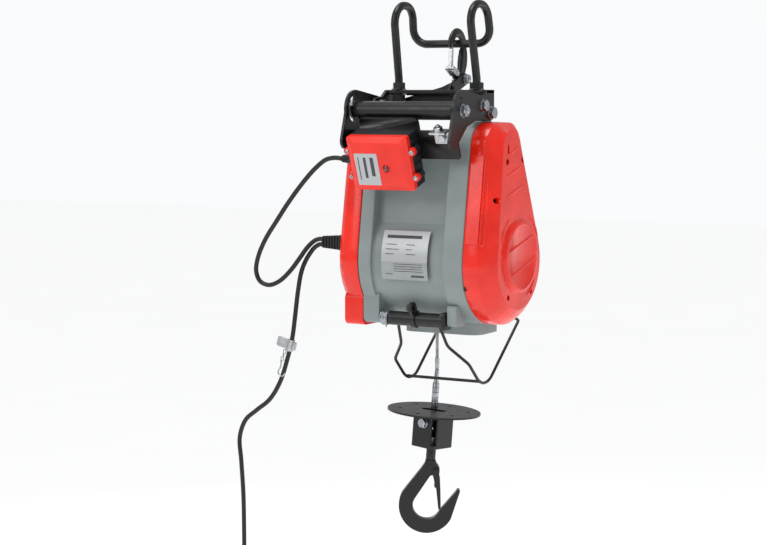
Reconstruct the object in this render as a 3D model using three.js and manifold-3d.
// Compact electric wire-rope hoist, hung from a tube by its bent hanger rod, with a radio receiver box.
// Millimetres, +Z up. X runs along the drum from the motor cover to the gear cover, -Y is the front.
// Everything is drawn about the drum axis; the last line moves the tube seat of the hanger to the origin.
import * as THREE from 'three';
import { mergeVertices } from 'three/addons/utils/BufferGeometryUtils.js';
import Module from 'manifold-3d';

const wasm = await Module();
wasm.setup();

// ---------------------------------------------------------------- driving dimensions
const fit = 0.3; // clearance between pieces that touch
const roundSteps = 9; // straight steps in each round of the casing's outline

// casing, about the drum axis
const caseRadius = 95;
const crownFront = { y: -30, z: 165, r: 40 };
const crownRear = { y: 10, z: 180, r: 25 };
const rightSeam = 87;
const leftSeam = -87;
const rightFlange = 54; // inner face of the gear-side flange
const leftFlange = -65; // inner face of the motor-side flange
const barrelRadius = caseRadius - 0.6;
const cavityRadius = caseRadius - 15;
const neckInset = 18;
const wall = 4;
const gearCoverDepth = 46;
const motorCoverDepth = 38;

// drum, rope and gears
const ropeRadius = 2.5;
const drumCoreRadius = 24;
const ropeLayers = 5;
const layerStep = 4.3;
const drumHalfLength = 44;
const drumFlangeRadius = 60;
const hubRadius = 14;
const bearingRadius = 22;
const shaftRadius = 6;
const plateFrom = 60; // gearbox plate along X
const plateThickness = 8;
const fastModule = 2;
const slowModule = 2.25;
const pinionTeeth = 12;
const gearCentres = 54; // height of the intermediate shaft over the drum axis
const ropeX = -26.6;

// hanger
const rodRadius = 6;
const hangerHalfSpan = 65.5;
const archRadius = 30;
const archLean = 2.5; // each leg leans in this far by the top of its hook
const archFlare = 10; // the rear legs run back this far on their way down to the saddle
const archY = 0;
const archTop = 378;
const saddleZ = 321;
const webZ = 246;
const webThickness = 6;
const yokeInner = 80; // inner face of each yoke flange
const yokeThickness = 6;
const yokeBolt = { y: -2, z: 218, r: 5 };
const earBolt = { y: -36, z: 229, r: 4.7 };
const earThickness = 4;

// guide roller
const rollerAxis = { y: -100, z: 222 };
const rollerRadius = 13.5;
const rollerHalfLength = 79;
const rollerBoltRadius = 5;

// receiver box, in its own leaning frame: x across, y into the depth, z up its face
const boxWidth = 100;
const boxHeight = 83;
const boxDepth = 38;
const lidDepth = 13;
const boxLean = THREE.MathUtils.degToRad(20);
const boxPlace = new THREE.Vector3(boxWidth / 2 - 77, -136, 144); // its left side stays clear of the ear

// over-hoist limit
const limitAxis = { y: 25 - caseRadius, z: 9.5 - caseRadius };
const limitTubeRadius = 10.5;
const limitPinRadius = 4;
const bailRadius = 2.3;

// hook assembly, hanging from the end of the rope
const ropeEndZ = -175.5;
const hookLean = THREE.MathUtils.degToRad(4);
const hookFacing = THREE.MathUtils.degToRad(28);
const ferruleLength = 62;
const sleeveLength = 21; // the ferrule's narrow upper end
const discRadius = 72;
const discThickness = 3;
const blockWidth = 44.5;
const blockHeight = 54;
const neckLength = 23; // from the block's floor down to where the shank widens
const stemRadius = 7.5;
const hookThickness = 16;

// cords
const cordRadius = 3.5;

// ---------------------------------------------------------------- worked out from the above
const ropeY = drumCoreRadius + ropeRadius + (ropeLayers - 1) * layerStep;
const windingRadius = ropeY + ropeRadius;
const gearFace = rightSeam + gearCoverDepth;
const motorFace = leftSeam - motorCoverDepth;
const seatZ = archTop - rodRadius;
const legY = archY - archRadius;
const rearTopY = archY + archRadius - 1;
const rearY = rearTopY + archFlare;
const yokeOuter = yokeInner + yokeThickness;
const fastTeeth = 2 * gearCentres / fastModule - pinionTeeth;
const slowTeeth = 2 * gearCentres / slowModule - pinionTeeth;

// ---------------------------------------------------------------- shape helpers
const vec = (x, y, z) => new THREE.Vector3(x, y, z);
const axes = {
  x: new THREE.Matrix4().makeBasis(vec(0, 1, 0), vec(0, 0, 1), vec(1, 0, 0)),
  y: new THREE.Matrix4().makeBasis(vec(1, 0, 0), vec(0, 0, 1), vec(0, -1, 0)),
  z: new THREE.Matrix4(),
};

/** A closed three.js geometry as a solid that can be joined and cut. */
function solid(geometry) {
  const bare = geometry.clone();
  bare.deleteAttribute('normal');
  bare.deleteAttribute('uv');
  const merged = mergeVertices(bare, 1e-4);
  const vertProperties = new Float32Array(merged.attributes.position.array);
  const triVerts = new Uint32Array(merged.index.array);
  return new wasm.Manifold(new wasm.Mesh({ numProp: 3, vertProperties, triVerts }));
}

function geometryOf(body) {
  const { vertProperties, triVerts } = body.getMesh();
  const geometry = new THREE.BufferGeometry();
  geometry.setAttribute('position', new THREE.BufferAttribute(new Float32Array(vertProperties), 3));
  geometry.setIndex(new THREE.BufferAttribute(new Uint32Array(triVerts), 1));
  geometry.computeVertexNormals();
  return geometry;
}

const join = (...bodies) => bodies.reduce((all, body) => all.add(body));
const cut = (body, ...tools) => tools.reduce((rest, tool) => rest.subtract(tool), body);

/** Extrude an outline along an axis: 'x' reads it as (y, z), 'y' as (x, z), 'z' as (x, y). */
function prism(axis, outline, from, to) {
  const shape = new THREE.Shape(outline);
  const geometry = new THREE.ExtrudeGeometry(shape, { depth: to - from, bevelEnabled: false });
  geometry.applyMatrix4(axes[axis]);
  const start = { x: [from, 0, 0], y: [0, to, 0], z: [0, 0, from] }[axis];
  return solid(geometry.translate(...start));
}

function ring(u, v, radius, sides = 20) {
  return Array.from({ length: sides }, (_, i) => {
    const angle = (2 * Math.PI * i) / sides;
    return new THREE.Vector2(u + radius * Math.cos(angle), v + radius * Math.sin(angle));
  });
}

const rod = (axis, radius, u, v, from, to, sides) => prism(axis, ring(u, v, radius, sides), from, to);

function block(x0, x1, y0, y1, z0, z1) {
  const geometry = new THREE.BoxGeometry(x1 - x0, y1 - y0, z1 - z0);
  return solid(geometry.translate((x0 + x1) / 2, (y0 + y1) / 2, (z0 + z1) / 2));
}

/** The outline of a belt drawn tight round circles [u, v, radius], given anticlockwise. */
function belt(circles, arcSteps = 8) {
  const count = circles.length;
  const leaving = circles.map(([u, v, r], i) => {
    const [nextU, nextV, nextR] = circles[(i + 1) % count];
    const heading = Math.atan2(nextV - v, nextU - u);
    return heading - Math.acos((r - nextR) / Math.hypot(nextU - u, nextV - v));
  });
  return circles.flatMap(([u, v, r], i) => {
    const from = leaving[(i + count - 1) % count];
    const sweep = THREE.MathUtils.euclideanModulo(leaving[i] - from, 2 * Math.PI);
    return Array.from({ length: arcSteps + 1 }, (_, k) => {
      const angle = from + (sweep * k) / arcSteps;
      return new THREE.Vector2(u + r * Math.cos(angle), v + r * Math.sin(angle));
    });
  });
}

function roundedBox(u0, u1, v0, v1, r, arcSteps = 3) {
  return belt([[u1 - r, v0 + r, r], [u1 - r, v1 - r, r], [u0 + r, v1 - r, r], [u0 + r, v0 + r, r]], arcSteps);
}

function arcBand(u, v, radius, halfWidth, fromDeg, toDeg, steps = 12) {
  const at = (r, k) => {
    const angle = THREE.MathUtils.degToRad(fromDeg + ((toDeg - fromDeg) * k) / steps);
    return new THREE.Vector2(u + r * Math.cos(angle), v + r * Math.sin(angle));
  };
  const outer = Array.from({ length: steps + 1 }, (_, k) => at(radius + halfWidth, k));
  const inner = Array.from({ length: steps + 1 }, (_, k) => at(radius - halfWidth, steps - k));
  return [...outer, ...inner];
}

/** Join outlines of equal point count, each at its own X, into one convex-ended body. */
function loftX(levels) {
  const count = levels[0].outline.length;
  const positions = levels.flatMap(({ x, outline }) => outline.flatMap(({ x: y, y: z }) => [x, y, z]));
  const index = [];
  for (let level = 0; level + 1 < levels.length; level += 1) {
    for (let i = 0; i < count; i += 1) {
      const a = level * count + i;
      const b = level * count + ((i + 1) % count);
      index.push(a, b, b + count, a, b + count, a + count);
    }
  }
  const last = (levels.length - 1) * count;
  for (let i = 1; i + 1 < count; i += 1) {
    index.push(0, i + 1, i, last, last + i, last + i + 1);
  }
  const geometry = new THREE.BufferGeometry();
  geometry.setAttribute('position', new THREE.Float32BufferAttribute(positions, 3));
  geometry.setIndex(index);
  return solid(geometry);
}

/** Straight runs between corners, each corner rounded to its own radius. */
class BentPath extends THREE.Curve {
  constructor(corners, arcSteps = 5) {
    super();
    this.stations = [];
    const last = corners.length - 1;
    corners.forEach(({ at, bend }, i) => {
      const before = at.clone().sub(corners[Math.max(i - 1, 0)].at).normalize();
      const after = corners[Math.min(i + 1, last)].at.clone().sub(at).normalize();
      if (i === 0 || i === last) {
        this.stations.push({ point: at, heading: i === 0 ? after : before });
        return;
      }
      const turn = before.angleTo(after);
      const inward = after.clone().sub(before).normalize();
      const centre = at.clone().addScaledVector(inward, bend / Math.cos(turn / 2));
      const start = at.clone().addScaledVector(before, -bend * Math.tan(turn / 2)).sub(centre);
      const axis = before.clone().cross(after).normalize();
      for (let k = 0; k <= arcSteps; k += 1) {
        const angle = (turn * k) / arcSteps;
        const point = start.clone().applyAxisAngle(axis, angle).add(centre);
        this.stations.push({ point, heading: before.clone().applyAxisAngle(axis, angle) });
      }
    });
    this.steps = this.stations.length - 1;
  }

  getPointAt(u) {
    return this.stations[Math.round(u * this.steps)].point.clone();
  }

  getTangentAt(u) {
    return this.stations[Math.round(u * this.steps)].heading.clone();
  }
}

function tube(path, radius, sides, steps = path.steps) {
  const section = new THREE.Shape(ring(0, 0, radius, sides));
  return solid(new THREE.ExtrudeGeometry(section, { steps, extrudePath: path, bevelEnabled: false }));
}

const hexagon = (axis, radius, u, v, from, to) => rod(axis, radius, u, v, from, to, 6);

/** Teeth on a wheel: straight flanks with room left between them for backlash. */
function gearOutline(module, teeth, centreV) {
  const root = module * (teeth / 2 - 1.35);
  const tip = module * (teeth / 2 + 0.9);
  const pitch = (2 * Math.PI) / teeth;
  const flank = [[-0.3, root], [-0.11, tip], [0.11, tip], [0.3, root]];
  return Array.from({ length: teeth }, (_, i) => i).flatMap((i) => flank.map(([share, radius]) => {
    const angle = (i + share) * pitch;
    return new THREE.Vector2(radius * Math.cos(angle), centreV + radius * Math.sin(angle));
  }));
}

function mirrored(body) {
  return body.mirror([1, 0, 0]);
}

const finishes = {
  redPaint: [0xff3c1e, 0.3, 0],
  greyPaint: [0x919999, 0.5, 0.1],
  blackPaint: [0x1c1c1d, 0.45, 0.2],
  zinc: [0xb8bcc0, 0.35, 0.9],
  steel: [0x8c9094, 0.35, 0.9],
  rope: [0xc4c6c8, 0.45, 0.8],
  rubber: [0x18181a, 0.75, 0],
  plastic: [0x202123, 0.55, 0],
  lamp: [0x8f0a12, 0.15, 0],
  circuit: [0x1f5a34, 0.5, 0],
  copper: [0x9a5a33, 0.4, 0.8],
};

const hoist = new THREE.Group();

function add(name, body, finish, parent = hoist) {
  const [color, roughness, metalness] = finishes[finish];
  const material = new THREE.MeshStandardMaterial({ color, roughness, metalness });
  const mesh = new THREE.Mesh(geometryOf(body), material);
  mesh.name = name;
  parent.add(mesh);
}

// ---------------------------------------------------------------- casing
/** The casing's side outline, drawn in by an inset all round. */
function casing(inset) {
  const { y: frontY, z: frontZ, r: frontR } = crownFront;
  const { y: rearCrownY, z: rearZ, r: rearR } = crownRear;
  return belt([
    [0, 0, caseRadius - inset],
    [rearCrownY, rearZ, rearR - inset],
    [frontY, frontZ, frontR - inset],
  ], roundSteps);
}

const collar = { x0: -53, x1: 76, y0: -20, y1: 56, z: -16 - caseRadius };
const limitFoot = { to: 70, y0: limitAxis.y - 9, y1: limitAxis.y + 20, z0: limitAxis.z - 7, z1: limitAxis.z + 24 };
const lobe = { x: -60, y0: limitAxis.y - 8, y1: limitAxis.y + 40, z0: limitAxis.z - 9, z1: limitAxis.z + 40 };
const switchRoom = {
  from: -112, to: -73, y0: limitAxis.y - 3, y1: limitAxis.y + 15, z0: limitAxis.z + 3, z1: limitAxis.z + 31,
};

function switchCavity() {
  const { from, to, y0, y1, z0, z1 } = switchRoom;
  return block(from, to, y0, y1, z0, z1);
}

function drumHousing() {
  const lug = { from: 67, to: yokeInner - fit, r: 14 };
  const lugOutline = belt([[yokeBolt.y - 8, crownRear.z, lug.r], [yokeBolt.y + 6, crownRear.z, lug.r],
    [yokeBolt.y, yokeBolt.z, lug.r]]);
  const lobeOutline = roundedBox(lobe.y0, lobe.y1, lobe.z0, lobe.z1, 10);
  const outside = join(
    prism('x', casing(0), rightFlange, rightSeam),
    prism('x', casing(0), leftSeam, leftFlange),
    rod('x', barrelRadius, 0, 0, leftFlange - 1, rightFlange + 1, 40),
    prism('x', casing(neckInset), leftFlange - 1, rightFlange + 1),
    prism('z', roundedBox(collar.x0, collar.x1, collar.y0, collar.y1, 18), collar.z, -60),
    prism('x', lobeOutline, leftSeam, lobe.x),
    prism('x', roundedBox(limitFoot.y0, limitFoot.y1, limitFoot.z0, limitFoot.z1, 5), rightFlange, limitFoot.to),
    prism('x', lugOutline, lug.from, lug.to),
    mirrored(prism('x', lugOutline, lug.from, lug.to)),
  );
  const partition = { from: -56, to: -48 };
  const hollow = cut(
    outside,
    rod('x', cavityRadius, 0, 0, leftSeam - 1, rightSeam + 1, 40),
    prism('x', casing(neckInset + 5), leftFlange + 3, rightFlange - 4),
    prism('x', casing(wall * 2), plateFrom - fit, rightSeam + 1),
    prism('x', casing(wall * 2), leftSeam - 1, leftFlange - 6),
    block(-36, 36, ropeY - 11, collar.y1 - 3, collar.z - 1, -60),
  );
  const divided = cut(
    hollow.add(rod('x', cavityRadius + 1, 0, 0, partition.from, partition.to, 40)),
    rod('x', bearingRadius + fit, 0, 0, partition.from - 1, partition.to + 1),
  );
  return cut(
    divided,
    rod('x', yokeBolt.r + fit, yokeBolt.y, yokeBolt.z, -100, 100, 16),
    rod('x', limitPinRadius + fit, limitAxis.y, limitAxis.z, lobe.x - 12, lobe.x + 1, 12),
    rod('x', limitPinRadius + fit, limitAxis.y, limitAxis.z, rightFlange - 1, limitFoot.to - 4, 12),
    switchCavity(),
  );
}
add('drum_housing', drumHousing(), 'greyPaint');

// Red end covers: a drafted wall, a broad bevel and a flatter outer face.
const coverOutlines = {
  wall: casing(1),
  gearBevel: belt([[0, 0, caseRadius - 10], [2, 172, 20], [-34, 163, 32]], roundSteps),
  gearFace: belt([[0, 0, caseRadius - 24], [-20, 178, 18], [-34, 170, 20]], roundSteps),
  motorFace: belt([[0, 0, caseRadius - 9], [2, 168, 20], [-30, 160, 30]], roundSteps),
};
const boss = { z: 8, r: 54, height: 6 };

function gearCover() {
  const seam = rightSeam + fit;
  const outside = loftX([
    { x: seam, outline: casing(0) },
    { x: rightSeam + 25, outline: coverOutlines.wall },
    { x: rightSeam + 37, outline: coverOutlines.gearBevel },
    { x: gearFace, outline: coverOutlines.gearFace },
  ]);
  const inset = belt([[0, 0, caseRadius - 15], [-4, 166, 16], [-34, 158, 24]], roundSteps);
  const inside = loftX([
    { x: seam - 1, outline: casing(wall) },
    { x: rightSeam + 24, outline: casing(wall + 1) },
    { x: rightSeam + 35, outline: inset },
    { x: gearFace - wall, outline: belt([[0, 0, caseRadius - 29], [-22, 172, 14], [-34, 166, 16]], roundSteps) },
  ]);
  const shell = cut(
    join(outside, rod('x', boss.r, 0, boss.z, gearFace - 6, gearFace + boss.height, 40)),
    inside,
  );
  const posts = [0, gearCentres].map((z) => cut(
    rod('x', 12, 0, z, rightSeam + 28, gearFace - wall + 1, 16),
    rod('x', shaftRadius + fit, 0, z, rightSeam + 27, gearFace - wall - 2, 16),
  ));
  return join(shell, ...posts);
}
add('gear_cover', gearCover(), 'redPaint');

const bootPlace = { y: -68, z: 23 };

function motorCover() {
  const seam = leftSeam - fit;
  const outside = join(
    loftX([
      { x: motorFace, outline: coverOutlines.motorFace },
      { x: leftSeam - 26, outline: coverOutlines.wall },
      { x: seam, outline: casing(0) },
    ]),
    prism('x', roundedBox(lobe.y0, lobe.y1, lobe.z0, lobe.z1, 10), motorFace + 6, seam),
  );
  const inside = loftX([
    { x: motorFace + wall, outline: belt([[0, 0, caseRadius - 14], [0, 162, 14], [-30, 156, 24]], roundSteps) },
    { x: leftSeam - 25, outline: casing(wall + 1) },
    { x: seam + 1, outline: casing(wall) },
  ]);
  const vents = [-2, -1, 0, 1, 2].map((row) => block(motorFace - 1, motorFace + wall + 1, -34, 34,
    row * 15 - 3, row * 15 + 3));
  const bootHole = rod('x', 7, bootPlace.y, bootPlace.z, motorFace - 1, motorFace + wall + 5, 16);
  return cut(outside, inside, bootHole, switchCavity(), ...vents);
}
add('motor_cover', motorCover(), 'redPaint');

// ---------------------------------------------------------------- drive train
const bearingSpans = { left: [-56, -48], right: [plateFrom, plateFrom + plateThickness] };
Object.entries(bearingSpans).forEach(([side, [from, to]]) => {
  add(`drum_bearing_${side}`, cut(
    rod('x', bearingRadius, 0, 0, from, to),
    rod('x', hubRadius + fit, 0, 0, from - 1, to + 1),
  ), 'steel');
});

add('gearbox_plate', cut(
  prism('x', casing(wall * 2 + fit), plateFrom, plateFrom + plateThickness),
  rod('x', bearingRadius + fit, 0, 0, 0, 100),
  rod('x', shaftRadius + fit, 0, gearCentres, 0, 100, 16),
), 'steel');

function ropeDrum() {
  const slowGearSeat = plateFrom + plateThickness + 20;
  return cut(
    join(
      rod('x', drumCoreRadius, 0, 0, -drumHalfLength, drumHalfLength, 32),
      rod('x', drumFlangeRadius, 0, 0, -drumHalfLength, 5 - drumHalfLength, 40),
      rod('x', drumFlangeRadius, 0, 0, drumHalfLength - 5, drumHalfLength, 40),
      rod('x', hubRadius, 0, 0, -58, slowGearSeat),
    ),
    rod('x', shaftRadius + 2, 0, 0, -60, slowGearSeat + 1, 16),
  );
}
add('rope_drum', ropeDrum(), 'steel');

add('rope_winding', cut(
  rod('x', windingRadius, 0, 0, 5 - drumHalfLength + fit, drumHalfLength - 5 - fit, 40),
  rod('x', drumCoreRadius + fit, 0, 0, -60, 60, 32),
), 'rope');

const slowFace = [plateFrom + plateThickness + 5, plateFrom + plateThickness + 17];
const fastFace = [slowFace[1] + 6, slowFace[1] + 16];

add('drum_gear', cut(
  prism('x', gearOutline(slowModule, slowTeeth, 0), ...slowFace),
  rod('x', hubRadius + fit, 0, 0, 0, 200),
), 'steel');

/** The intermediate wheel sits half a tooth round so that its teeth fall between the pinion's. */
function intermediateGear() {
  const turned = (body, angle) => {
    const about = new THREE.Matrix4().makeRotationX(angle);
    const placed = new THREE.Matrix4().makeTranslation(0, 0, gearCentres).multiply(about);
    return body.transform(placed.elements);
  };
  const wheelPhase = Math.PI / 2 + Math.PI / fastTeeth;
  const pinionPhase = Math.PI / 2 + Math.PI / pinionTeeth;
  return join(
    turned(prism('x', gearOutline(fastModule, fastTeeth, 0), ...fastFace), wheelPhase),
    turned(prism('x', gearOutline(slowModule, pinionTeeth, 0), slowFace[0] - 1, slowFace[1] + 1), pinionPhase),
    rod('x', shaftRadius, 0, gearCentres, plateFrom + 1, gearFace - wall - 3, 16),
  );
}
add('intermediate_gear', intermediateGear(), 'steel');

function motorShaft() {
  const pinion = prism('x', gearOutline(fastModule, pinionTeeth, 0), fastFace[0] - 1, fastFace[1] + 1);
  return join(
    rod('x', shaftRadius, 0, 0, motorFace + wall + 3, gearFace - wall - 3, 16),
    rod('x', 28, 0, 0, -97, -61, 24),
    pinion,
  );
}
add('motor_shaft', motorShaft(), 'steel');

add('motor_stator', cut(
  join(rod('x', 62, 0, 0, -98, -60, 32), rod('x', 48, 0, 0, -101, -57.5, 24)),
  rod('x', 29, 0, 0, -110, -50, 24),
), 'copper');

function coolingFan() {
  const fan = { from: -118, to: -105, hub: 13, tip: 54 };
  const blade = block(fan.from, fan.to, -1, 1, fan.hub - 2, fan.tip);
  const blades = Array.from({ length: 9 }, (_, i) => {
    const turn = new THREE.Matrix4().makeRotationX((2 * Math.PI * i) / 9);
    return blade.transform(turn.elements);
  });
  return cut(
    join(rod('x', fan.hub, 0, 0, fan.from, fan.to), rod('x', fan.tip, 0, 0, fan.to - 2, fan.to, 32), ...blades),
    rod('x', shaftRadius + fit, 0, 0, -130, -90, 16),
  );
}
add('cooling_fan', coolingFan(), 'plastic');

add('run_capacitor', rod('x', 17, -8, 130, -48, 30), 'plastic');

// ---------------------------------------------------------------- hanger
/** One bar bent into two hooks and the low saddle between them. */
function hangerRod() {
  const side = (sign) => [
    { at: vec(sign * hangerHalfSpan, -8, webZ - 12) },
    { at: vec(sign * hangerHalfSpan, -8, webZ + 22), bend: 30 },
    { at: vec(sign * (hangerHalfSpan - archLean), legY, archTop), bend: archRadius - 3 },
    { at: vec(sign * (hangerHalfSpan - archLean), rearTopY, archTop), bend: archRadius - 5 },
    { at: vec(sign * hangerHalfSpan, rearY, saddleZ), bend: 22 },
  ];
  return tube(new BentPath([...side(-1), ...side(1).reverse()], 6), rodRadius, 8);
}
add('hanger_rod', hangerRod(), 'blackPaint');

const gusset = { from: 4, to: 10 };
const hookPin = { y: rearY + 10, z: 268, r: 4 };
const hookPlane = { from: 4, to: 13 };

function hangerYoke() {
  const web = block(-yokeOuter, yokeOuter, -16, gusset.to, webZ, webZ + webThickness);
  const flangeOutline = [[-16, webZ + webThickness], [-30, 242], [-52, 240], [-58, 234], [-58, 213], [-52, 207],
    [gusset.to, 207], [gusset.to, webZ + webThickness]].map(([y, z]) => new THREE.Vector2(y, z));
  const flange = prism('x', flangeOutline, yokeInner, yokeOuter);
  const gussetOutline = [[-62, 229], [22, 229], [22, 258], [14, 262], [0, 256], [-62, 240]]
    .map(([x, z]) => new THREE.Vector2(x, z));
  const ear = prism('x', belt([[gusset.to - 5, 250, 8], [hookPin.y, hookPin.z, 9], [gusset.to - 5, 256, 5]]),
    hookPlane.to + fit, hookPlane.to + fit + 5);
  const holes = [-1, 1].map((sign) => rod('z', rodRadius + fit, sign * hangerHalfSpan, -8, webZ - 1,
    webZ + webThickness + 1, 16));
  return cut(
    join(web, flange, mirrored(flange), prism('y', gussetOutline, gusset.from, gusset.to), ear),
    ...holes,
    rod('x', yokeBolt.r + fit, yokeBolt.y, yokeBolt.z, -100, 100, 16),
    rod('x', earBolt.r + fit, earBolt.y, earBolt.z, -100, 100, 16),
    rod('x', hookPin.r + fit, hookPin.y, hookPin.z, 0, 30, 12),
  );
}
add('hanger_yoke', hangerYoke(), 'blackPaint');

[['left', -1], ['right', 1]].forEach(([side, sign]) => {
  const x = sign * hangerHalfSpan;
  const bore = rod('z', rodRadius + fit, x, -8, webZ - 20, webZ + 30, 16);
  const top = webZ + webThickness + fit;
  add(`hanger_nut_upper_${side}`, cut(hexagon('z', 10.5, x, -8, top, top + 10), bore), 'zinc');
  add(`hanger_nut_lower_${side}`, cut(hexagon('z', 10.5, x, -8, webZ - fit - 10, webZ - fit), bore), 'zinc');
});

/** A bolt along X: shank through both plates, head outside and nut inside. */
function crossBolt({ y, z, r }, inner, outer) {
  return join(
    rod('x', r, y, z, inner - 7, outer + 5, 12),
    hexagon('x', r * 1.75, y, z, outer + fit, outer + 6.5),
    hexagon('x', r * 1.75, y, z, inner - fit - 6.5, inner - fit),
  );
}

function rollerEar(slotted) {
  const head = { y: rollerAxis.y, z: rollerAxis.z + 2, r: 28 };
  const outline = join(
    prism('x', belt([[head.y, head.z, head.r], [earBolt.y, earBolt.z, 14]]), yokeOuter + fit,
      yokeOuter + fit + earThickness),
    prism('x', belt([[head.y - 4, head.z - 9, 24], [head.y - 28, head.z - 46, 12]]), yokeOuter + fit,
      yokeOuter + fit + earThickness),
  );
  const opening = slotted
    ? prism('x', arcBand(head.y, head.z, 18, 3, 100, 260), 0, 200)
    : rod('x', 3.5, head.y - 6, head.z + 14, 0, 200, 12);
  return cut(
    outline,
    opening,
    rod('x', rollerBoltRadius + fit, rollerAxis.y, rollerAxis.z, 0, 200, 16),
    rod('x', earBolt.r + fit, earBolt.y, earBolt.z, 0, 200, 16),
  );
}

const sideOf = { right: (body) => body, left: mirrored };
Object.entries(sideOf).forEach(([side, place]) => {
  add(`yoke_bolt_${side}`, place(crossBolt(yokeBolt, 67, yokeOuter)), 'zinc');
  add(`ear_bolt_${side}`, place(crossBolt(earBolt, yokeInner, yokeOuter + fit + earThickness)), 'zinc');
  add(`roller_ear_${side}`, place(rollerEar(side === 'left')), 'blackPaint');
});

add('guide_roller', cut(
  rod('x', rollerRadius, rollerAxis.y, rollerAxis.z, -rollerHalfLength, rollerHalfLength, 28),
  rod('x', rollerBoltRadius + fit, rollerAxis.y, rollerAxis.z, -100, 100, 16),
), 'blackPaint');

const earOuter = yokeOuter + fit + earThickness;
add('roller_axle', join(
  rod('x', rollerBoltRadius, rollerAxis.y, rollerAxis.z, -earOuter - 5, earOuter + 5, 12),
  hexagon('x', 9, rollerAxis.y, rollerAxis.z, earOuter + fit, earOuter + 7),
  hexagon('x', 9, rollerAxis.y, rollerAxis.z, -earOuter - 7, -earOuter - fit),
), 'zinc');

// Snap hook that closes the saddle from below, so that the hoist can't be knocked off its tube.
const gatePivot = { y: 30, z: 277 };

function safetyHook() {
  const { from, to } = hookPlane;
  return cut(
    join(
      prism('x', arcBand(rearY, saddleZ - 4, 20.5, 6, -20, 180, 14), from, to),
      prism('x', belt([[rearY + 19.3, saddleZ - 10, 6], [rearY + 16, 288, 6.5]]), from, to),
      prism('x', belt([[rearY + 16, 288, 6.5], [hookPin.y - 2, hookPin.z, 11]]), from, to),
      prism('x', belt([[hookPin.y - 2, hookPin.z, 11], [gatePivot.y, gatePivot.z, 5.5]]), from, to),
    ),
    rod('x', hookPin.r + fit, hookPin.y, hookPin.z, 0, 30, 12),
    rod('x', 2.3, gatePivot.y, gatePivot.z, 0, 30, 10),
  );
}
add('safety_hook', safetyHook(), 'blackPaint');

function safetyGate() {
  const reach = [[gatePivot.y - 13, gatePivot.z + 7, 3], [gatePivot.y - 10.5, saddleZ - 8.7, 2.4]];
  const cheek = belt([[gatePivot.y, gatePivot.z, 4], [gatePivot.y - 13, gatePivot.z + 7, 3]]);
  const { from, to } = hookPlane;
  return join(
    prism('x', belt(reach), from + 1.5, to - 1.5),
    prism('x', ring(gatePivot.y - 13, gatePivot.z + 7, 3, 12), from - 2.3, to + 2.3),
    prism('x', cheek, from - 2.3, from - fit),
    prism('x', cheek, to + fit, to + 2.3),
    rod('x', 2, gatePivot.y, gatePivot.z, from - 2.3, to + 2.3, 10),
  );
}
add('safety_gate', safetyGate(), 'zinc');

add('safety_bolt', join(
  rod('x', hookPin.r, hookPin.y, hookPin.z, hookPlane.from - 5, hookPlane.to + 11, 12),
  hexagon('x', 7.5, hookPin.y, hookPin.z, hookPlane.from - 5.5, hookPlane.from - fit),
  hexagon('x', 7.5, hookPin.y, hookPin.z, hookPlane.to + 2 * fit + 5, hookPlane.to + 11.5),
), 'zinc');

// ---------------------------------------------------------------- receiver box
const box = new THREE.Group();
box.position.copy(boxPlace);
box.rotation.x = boxLean;
hoist.add(box);

const halfWidth = boxWidth / 2;
const halfHeight = boxHeight / 2;
const cordExit = { y: 26, z: -2 };
const lamp = { x: 11, z: -6, radius: 5 };

function receiverLid() {
  const chamfer = 8;
  const rim = roundedBox(-halfWidth, halfWidth, -halfHeight, halfHeight, 4);
  const face = roundedBox(chamfer - halfWidth, halfWidth - chamfer, chamfer - halfHeight, halfHeight - chamfer, 4);
  const bevelled = loftX([
    { x: -lidDepth, outline: rim },
    { x: -5, outline: rim },
    { x: 0, outline: face },
  ]);
  const toFace = new THREE.Matrix4().makeBasis(vec(0, -1, 0), vec(1, 0, 0), vec(0, 0, 1));
  const shell = bevelled.transform(toFace.elements);
  const inside = prism('y', roundedBox(3 - halfWidth, halfWidth - 3, 3 - halfHeight, halfHeight - 3, 3), 6, lidDepth + 1);
  const lug = (x, z) => rod('y', 6, x, z, lidDepth - 6, lidDepth, 14);
  const lugs = [-1, 1].flatMap((side) => [17, -22].map((z) => lug(side * (halfWidth + 3), z)));
  return cut(join(shell, ...lugs), inside, rod('y', lamp.radius + fit, lamp.x, lamp.z, -2, 8, 14));
}
add('receiver_lid', receiverLid(), 'redPaint', box);

add('status_lamp', join(
  rod('y', lamp.radius, lamp.x, lamp.z, -2, 9, 14),
  rod('y', lamp.radius + 2, lamp.x, lamp.z, 6 + fit, 8.5, 14),
), 'lamp', box);

function receiverCase() {
  const outline = roundedBox(-halfWidth, halfWidth, -halfHeight, halfHeight, 4);
  const inside = roundedBox(3 - halfWidth, halfWidth - 3, 3 - halfHeight, halfHeight - 3, 3);
  return cut(
    prism('y', outline, lidDepth + fit, boxDepth),
    prism('y', inside, lidDepth - 1, boxDepth - 3),
    rod('x', 6.3, cordExit.y, cordExit.z, -halfWidth - 1, 5 - halfWidth, 12),
  );
}
add('receiver_case', receiverCase(), 'plastic', box);

add('circuit_board', block(7 - halfWidth, halfWidth - 7, lidDepth + 6, lidDepth + 8, 7 - halfHeight, halfHeight - 7),
  'circuit', box);

function boxGland() {
  const profile = [[4, -6], [6, -6], [6, fit], [9.5, fit], [9.5, 9], [7.5, 12], [5.5, 26], [4, 26], [4, -6]];
  const lathe = new THREE.LatheGeometry(profile.map(([r, h]) => new THREE.Vector2(r, h)), 14);
  lathe.rotateZ(Math.PI / 2).translate(-halfWidth, cordExit.y, cordExit.z);
  return solid(lathe);
}
add('box_gland', boxGland(), 'rubber', box);

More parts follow.
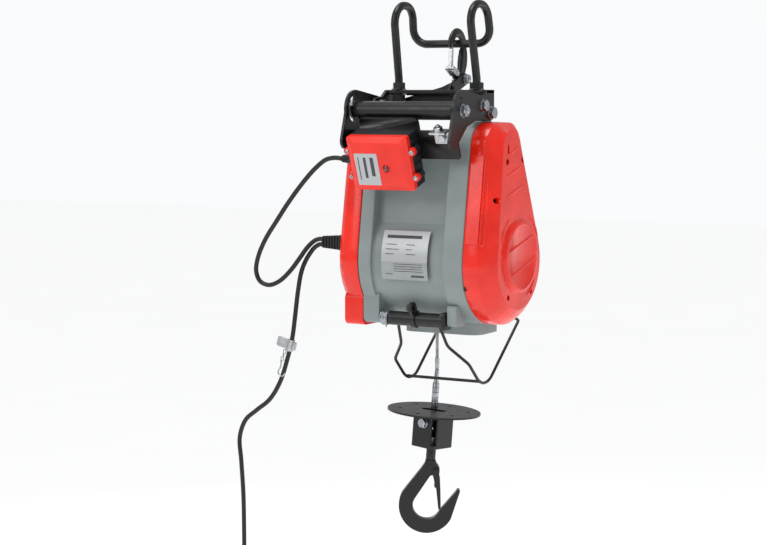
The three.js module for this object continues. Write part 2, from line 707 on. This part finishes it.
/** Sheet-steel plate behind the box, held between the lower arms of the roller ears. */
function boxBracket() {
  const reach = yokeOuter;
  const low = roundedBox(-reach - boxPlace.x, reach - boxPlace.x, -5, 38, 3);
  const high = roundedBox(-44, 54, 20, 58, 8);
  return join(prism('y', low, boxDepth + fit, boxDepth + 4), prism('y', high, boxDepth + fit, boxDepth + 4));
}
add('box_bracket', boxBracket(), 'blackPaint', box);

const clipTo = yokeOuter - boxPlace.x - 9;
const clipFrom = clipTo - 25;
add('bracket_clip', join(
  block(clipFrom, clipTo, boxDepth - 3, boxDepth, 20, 42),
  block(clipFrom, clipTo, boxDepth - 18, boxDepth - 2, 39, 42),
  rod('z', 7, (clipFrom + clipTo) / 2, boxDepth - 10, 41, 49, 6),
), 'zinc', box);

// ---------------------------------------------------------------- over-hoist limit
const limitTube = { from: -45, to: rightFlange - 6 };
add('limit_shaft', join(
  rod('x', limitTubeRadius, limitAxis.y, limitAxis.z, limitTube.from, limitTube.to, 18),
  rod('x', limitPinRadius, limitAxis.y, limitAxis.z, lobe.x - 10, limitFoot.to - 6, 12),
  prism('x', belt([[limitAxis.y, limitAxis.z, 7], [limitAxis.y - 10, limitAxis.z + 17.5, 9]]), -5.5, 0.5),
), 'blackPaint');

add('limit_spring', cut(
  rod('x', limitTubeRadius + 0.9, limitAxis.y, limitAxis.z, lobe.x + fit, limitTube.from - fit, 18),
  rod('x', limitPinRadius + fit, limitAxis.y, limitAxis.z, -100, 100, 12),
), 'zinc');

add('limit_bracket', cut(
  prism('x', roundedBox(limitAxis.y - 14, limitAxis.y + 8, limitAxis.z - 13, limitAxis.z + 14, 5),
    limitTube.to + fit, rightFlange - fit),
  rod('x', limitPinRadius + fit, limitAxis.y, limitAxis.z, 0, 100, 12),
), 'blackPaint');

function limitBail() {
  const root = limitTubeRadius + 0.4; // the legs start just outside the shaft
  const side = (sign) => tube(new BentPath([
    { at: vec(sign * 35, limitAxis.y + 0.54 * root, limitAxis.z - 0.84 * root) },
    { at: vec(sign * 39, limitAxis.y + 23, limitAxis.z - 40.5), bend: 24 },
    { at: vec(sign * 63, limitAxis.y + 46, limitAxis.z - 68.5), bend: 20 },
    { at: vec(sign * 63.5, limitAxis.y + 96, limitAxis.z - 115), bend: 37 },
    { at: vec(sign * 65, limitAxis.y + 211, limitAxis.z - 19.5), bend: 5 },
    { at: vec(sign * 55, limitAxis.y + 214, limitAxis.z - 15.5) },
  ], 3), bailRadius, 6);
  const barY = limitAxis.y + 85;
  const barZ = limitAxis.z - 99.5;
  return join(side(-1), side(1), rod('x', bailRadius, barY, barZ, -62, 62, 8));
}
add('limit_bail', limitBail(), 'blackPaint');

add('limit_switch', block(switchRoom.from + 4, switchRoom.to - 3, switchRoom.y0 + 2, switchRoom.y1 - 2,
  switchRoom.z0 + 2, switchRoom.z1 - 2), 'plastic');

// ---------------------------------------------------------------- rope and hook
const ropeTop = -Math.sqrt((windingRadius + fit) ** 2 - (ropeY - ropeRadius) ** 2) - 1;
add('wire_rope', rod('z', ropeRadius, ropeX, ropeY, ropeEndZ + fit, ropeTop, 12), 'rope');

const tackle = new THREE.Group();
tackle.position.set(ropeX, ropeY, ropeEndZ);
tackle.quaternion.setFromAxisAngle(vec(-Math.sin(hookFacing), Math.cos(hookFacing), 0), hookLean);
hoist.add(tackle);

add('rope_ferrule', join(
  rod('z', 3.4, 0, 0, -sleeveLength - 2, 0, 14),
  rod('z', 5.2, 0, 0, -ferruleLength, -sleeveLength, 16),
), 'zinc', tackle);

const discZ = -ferruleLength - 2;
const holes = Array.from({ length: 6 }, (_, i) => {
  const angle = (Math.PI * (2 * i + 1)) / 6;
  return rod('z', 3, 52 * Math.cos(angle), 52 * Math.sin(angle), discZ - 9, discZ + 9, 10);
});
add('block_disc', cut(
  rod('z', discRadius, 0, 0, discZ - discThickness, discZ, 40),
  prism('z', roundedBox(-20, 20, -8, 8, 6), discZ - 9, discZ + 9),
  ...holes,
), 'steel', tackle);

/** Square cage of two angle plates under the disc; its two open corners let the rope end be reached. */
const blockTop = discZ - discThickness - fit;
const blockLow = blockTop - blockHeight;
const blockYaw = THREE.MathUtils.degToRad(-12);
const boltZ = blockTop - 15;

function hookBlock() {
  const half = blockWidth / 2;
  const body = join(
    block(-half, half, -half, 4 - half, blockLow, blockTop),
    block(half - 4, half, -half + 7, half, blockLow, blockTop),
    block(-half, half - 7, half - 4, half, blockLow, blockTop),
    block(-half, 4 - half, -half, half, blockLow, blockTop),
    block(-half, half, -half + 7, half, blockLow, blockLow + 6),
  );
  const trimmed = cut(body, block(half - 7, half + 1, -half - 1, 7 - half, blockLow - 1, blockTop + 1));
  return cut(
    trimmed,
    rod('z', stemRadius + fit, 0, 0, blockLow - 1, blockLow + 7, 20),
    rod('y', 4 + fit, 0, boltZ, -half - 1, half + 1, 14),
  ).transform(new THREE.Matrix4().makeRotationZ(blockYaw).elements);
}
add('hook_block', hookBlock(), 'blackPaint', tackle);

const half = blockWidth / 2;
add('block_bolt', join(
  rod('y', 4, 0, boltZ, -half - 4, half + 4, 14),
  hexagon('y', 8, 0, boltZ, -half - 6, -half - fit),
  hexagon('y', 8, 0, boltZ, half + fit, half + 6),
).transform(new THREE.Matrix4().makeRotationZ(blockYaw).elements), 'zinc', tackle);

add('rope_thimble', cut(
  prism('x', belt([[0, boltZ, 9], [0, -ferruleLength - 5.6, 5]]), -4, 4),
  rod('y', 4.3, 0, boltZ, -30, 30, 14).transform(new THREE.Matrix4().makeRotationZ(blockYaw).elements),
), 'zinc', tackle);

const hookTop = blockLow - neckLength; // where the shank widens into the hook
const hook = new THREE.Group();
hook.position.set(0, 0, hookTop);
hook.rotation.z = hookFacing;
tackle.add(hook);

const bowl = { x: -1, z: -69, outer: 43, inner: 21.4 };
const hookTip = { x: 46, z: -43.7, r: 3 };
const latchPivot = { x: 9, z: -14 };

/** Side view of the hook: shank, round bowl and the raised tip. */
function hookOutline() {
  const around = (radius, degrees) => {
    const angle = THREE.MathUtils.degToRad(degrees);
    return new THREE.Vector2(bowl.x + radius * Math.cos(angle), bowl.z + radius * Math.sin(angle));
  };
  const outer = Array.from({ length: 13 }, (_, i) => around(bowl.outer, 155 + 15 * i));
  const inner = Array.from({ length: 11 }, (_, i) => around(bowl.inner, -20 - 18.5 * i));
  const tip = ring(hookTip.x, hookTip.z, hookTip.r, 8).slice(0, 5);
  return [new THREE.Vector2(-stemRadius, 2), new THREE.Vector2(-12.7, -10.5), ...outer, ...tip, ...inner,
    new THREE.Vector2(2, -21), new THREE.Vector2(11, -21), new THREE.Vector2(15.5, -15), new THREE.Vector2(14, -8),
    new THREE.Vector2(stemRadius, 2)];
}

add('load_hook', cut(
  join(
    prism('y', hookOutline(), -hookThickness / 2, hookThickness / 2),
    rod('z', stemRadius, 0, 0, -4, neckLength + 26, 16),
  ),
  rod('y', 2.5, latchPivot.x, latchPivot.z, -20, 20, 10),
), 'blackPaint', hook);

add('swivel_nut', cut(
  hexagon('z', 13, 0, 0, neckLength + 6 + fit, neckLength + 16),
  rod('z', stemRadius + fit, 0, 0, 0, 60, 16),
), 'zinc', hook);

add('latch_pin', rod('y', 2.2, latchPivot.x, latchPivot.z, -hookThickness / 2 - 4, hookThickness / 2 + 4, 10),
  'zinc', hook);

/** Sprung latch: two cheeks over the neck of the hook and a tongue that closes its mouth. */
function hookLatch() {
  const outside = hookThickness / 2 + 2.3;
  const inside = hookThickness / 2 + fit;
  const tongue = [[9, -25], [17.8, -74.5], [21.3, -70.5], [16.5, -24]].map(([x, z]) => new THREE.Vector2(x, z));
  const cheek = belt([[latchPivot.x, latchPivot.z, 5.5], [12.5, -30, 4]].reverse());
  return cut(
    join(
      prism('y', tongue, -6, 6),
      prism('y', belt([[12.2, -27, 4], [12.5, -36, 4]].reverse()), -outside, outside),
      prism('y', cheek, inside, outside),
      prism('y', cheek, -outside, -inside),
    ),
    rod('y', 2.5, latchPivot.x, latchPivot.z, -20, 20, 10),
  );
}
add('hook_latch', hookLatch(), 'blackPaint', hook);

// ---------------------------------------------------------------- cords
const boot = { length: 38, base: 11, tip: 8.5 };
const bootEnd = motorFace - boot.length;
const leadDrop = 4.2; // the two leads leave the boot one above the other

function cableBoot() {
  const body = loftX([
    { x: bootEnd, outline: roundedBox(-boot.tip + 3, boot.tip - 3, -boot.tip, boot.tip, 4) },
    { x: motorFace - 3, outline: roundedBox(-boot.tip, boot.tip, -boot.base, boot.base, 6) },
    { x: motorFace - fit, outline: roundedBox(-boot.base, boot.base, -boot.base, boot.base, 6) },
  ]);
  const plug = rod('x', 6.5, 0, 0, motorFace - 1, motorFace + wall + 4, 14);
  return join(body, plug).translate(0, bootPlace.y, bootPlace.z);
}
add('cable_boot', cableBoot(), 'rubber');

/** Cord routes: points picked by hand along the way each lead hangs. */
const controlRoute = [
  [-103.3, -110.9, 151], [-116, -110.5, 152], [-132, -110, 149], [-151, -109, 136], [-171, -108, 117],
  [-198, -106, 87], [-224, -104, 54], [-247, -101, 24], [-262, -98, -4], [-267, -95, -25], [-261.5, -93, -39.5],
  [-247, -91, -45], [-229, -89, -38.5], [-211, -86, -22], [-197, -82, -3], [-187, -75, 14], [-177, -69.5, 24.5],
  [bootEnd - 6, bootPlace.y, bootPlace.z + leadDrop],
  [bootEnd - fit, bootPlace.y, bootPlace.z + leadDrop],
];
const supplyRoute = [
  [bootEnd - fit, bootPlace.y, bootPlace.z - leadDrop], [bootEnd - 6, bootPlace.y, bootPlace.z - leadDrop],
  [-178, -68, 14], [-187, -68, 4], [-195, -69, -9],
  [-201.5, -70, -26], [-207, -71, -56], [-211.5, -72, -93], [-216, -73, -126], [-225, -74, -161],
  [-238, -75, -197], [-257, -75, -225], [-281, -75, -243.5], [-302, -75, -261], [-313, -75, -289],
  [-310.5, -75, -326], [-307, -75, -378], [-306, -75, -450], [-306, -75, -470],
];

function cord(route, ends) {
  const points = route.map(([x, y, z]) => vec(x, y, z));
  const curve = new THREE.CatmullRomCurve3(points, false, 'centripetal');
  const steps = Math.round(curve.getLength() / (2.5 * 2 * cordRadius));
  return tube(curve, cordRadius, ends, steps);
}
add('control_cord', cord(controlRoute, 8), 'rubber');
add('supply_cord', cord(supplyRoute, 8), 'rubber');

// The rest of the supply lead: a tied hank of long turns, hanging under the lead, and its plug.
const hank = { foldRadius: 22, run: 80, turns: 3, lay: 7.3, top: supplyRoute.at(-1)[2] - fit };

function supplyHank() {
  const [x, y] = supplyRoute.at(-1);
  const centre = x - hank.foldRadius;
  const outer = hank.foldRadius + cordRadius;
  const inner = hank.foldRadius - cordRadius;
  const high = hank.top - outer;
  const low = high - hank.run;
  const front = y - (hank.turns - 1) * hank.lay - cordRadius;
  const ringShape = (r) => belt([[centre, low, r], [centre, high, r]], 12);
  const body = cut(prism('y', ringShape(outer), front, y + cordRadius), prism('y', ringShape(inner), front - 1, y + 9));
  const tail = rod('z', cordRadius, x, front + cordRadius, low - outer - 12, low, 8);
  return { body: join(body, tail), x, y: front + cordRadius, z: low - outer - 12 - fit };
}
const hankShape = supplyHank();
add('supply_hank', hankShape.body, 'rubber');

function supplyPlug() {
  const { x, y, z } = hankShape;
  const profile = [[0, 0], [5.5, 0], [7, -18], [17, -26], [18.5, -30], [18.5, -50], [17, -52], [0, -52]];
  const lathe = new THREE.LatheGeometry(profile.reverse().map(([r, h]) => new THREE.Vector2(r, h)), 20);
  lathe.rotateX(Math.PI / 2).translate(x, y, z);
  const pins = [-9.5, 9.5].map((offset) => rod('z', 2.4, x + offset, y, z - 71, z - 51, 10));
  return join(solid(lathe), ...pins);
}
add('supply_plug', supplyPlug(), 'rubber');

// Steel clamp part-way down the supply lead, with the wire hook that hangs the lead up.
const clamp = new THREE.Group();
clamp.position.set(-219, -73.4, -138);
clamp.quaternion.setFromUnitVectors(vec(0, 0, 1), vec(9, 1, 35).normalize());
hoist.add(clamp);
add('cord_clamp', cut(
  join(block(-8, 10, -6.5, 6.5, -8, 8), block(-32, -7, -3, -1, -4, 7)),
  rod('z', cordRadius + 1, 0, 0, -20, 20, 12),
), 'zinc', clamp);
add('clamp_clip', tube(new BentPath([
  { at: vec(-28, -4.6, 1) }, { at: vec(-28, -4.6, -16), bend: 4 }, { at: vec(-20, -4.6, -26), bend: 4 },
  { at: vec(-28, -4.6, -42), bend: 4 }, { at: vec(-37, -4.6, -36), bend: 3 }, { at: vec(-35, -4.6, -30) },
], 4), 1.3, 6), 'zinc', clamp);

hoist.position.set(0, -archY, -seatZ);

const part = new THREE.Group();
part.add(hoist);
export default part;
